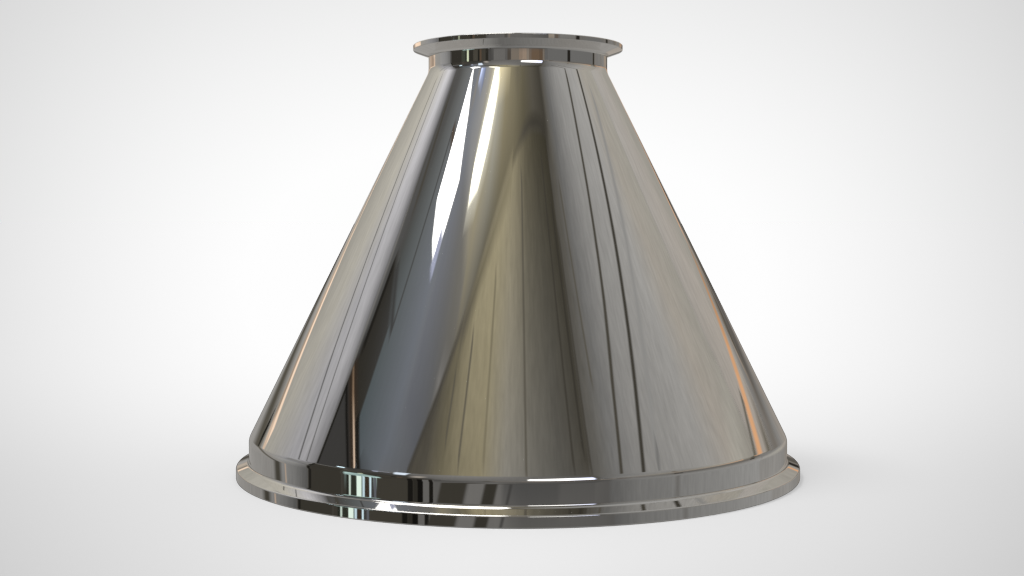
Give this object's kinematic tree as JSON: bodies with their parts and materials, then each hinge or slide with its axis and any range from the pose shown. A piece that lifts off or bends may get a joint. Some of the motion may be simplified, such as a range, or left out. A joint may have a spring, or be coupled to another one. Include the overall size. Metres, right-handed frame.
{
  "type": "concentric pipe reducer",
  "caption": "Polished conical pipe reducer with a hygienic clamp ferrule at each end, joining a large tube to a small one on the same axis.",
  "frame": {"origin": "centre of the large end's sealing face, on the common axis", "axes": "+Z along the common axis, from the large end up through the small end; X and Y are any two directions square to it, because the part is round"},
  "size_m": [0.3192, 0.3192, 0.2422],
  "materials": {
    "polished_stainless": "polished"
  },
  "bodies": {
    "root": {"reducer_body": "polished_stainless"}
  },
  "joints": []
}
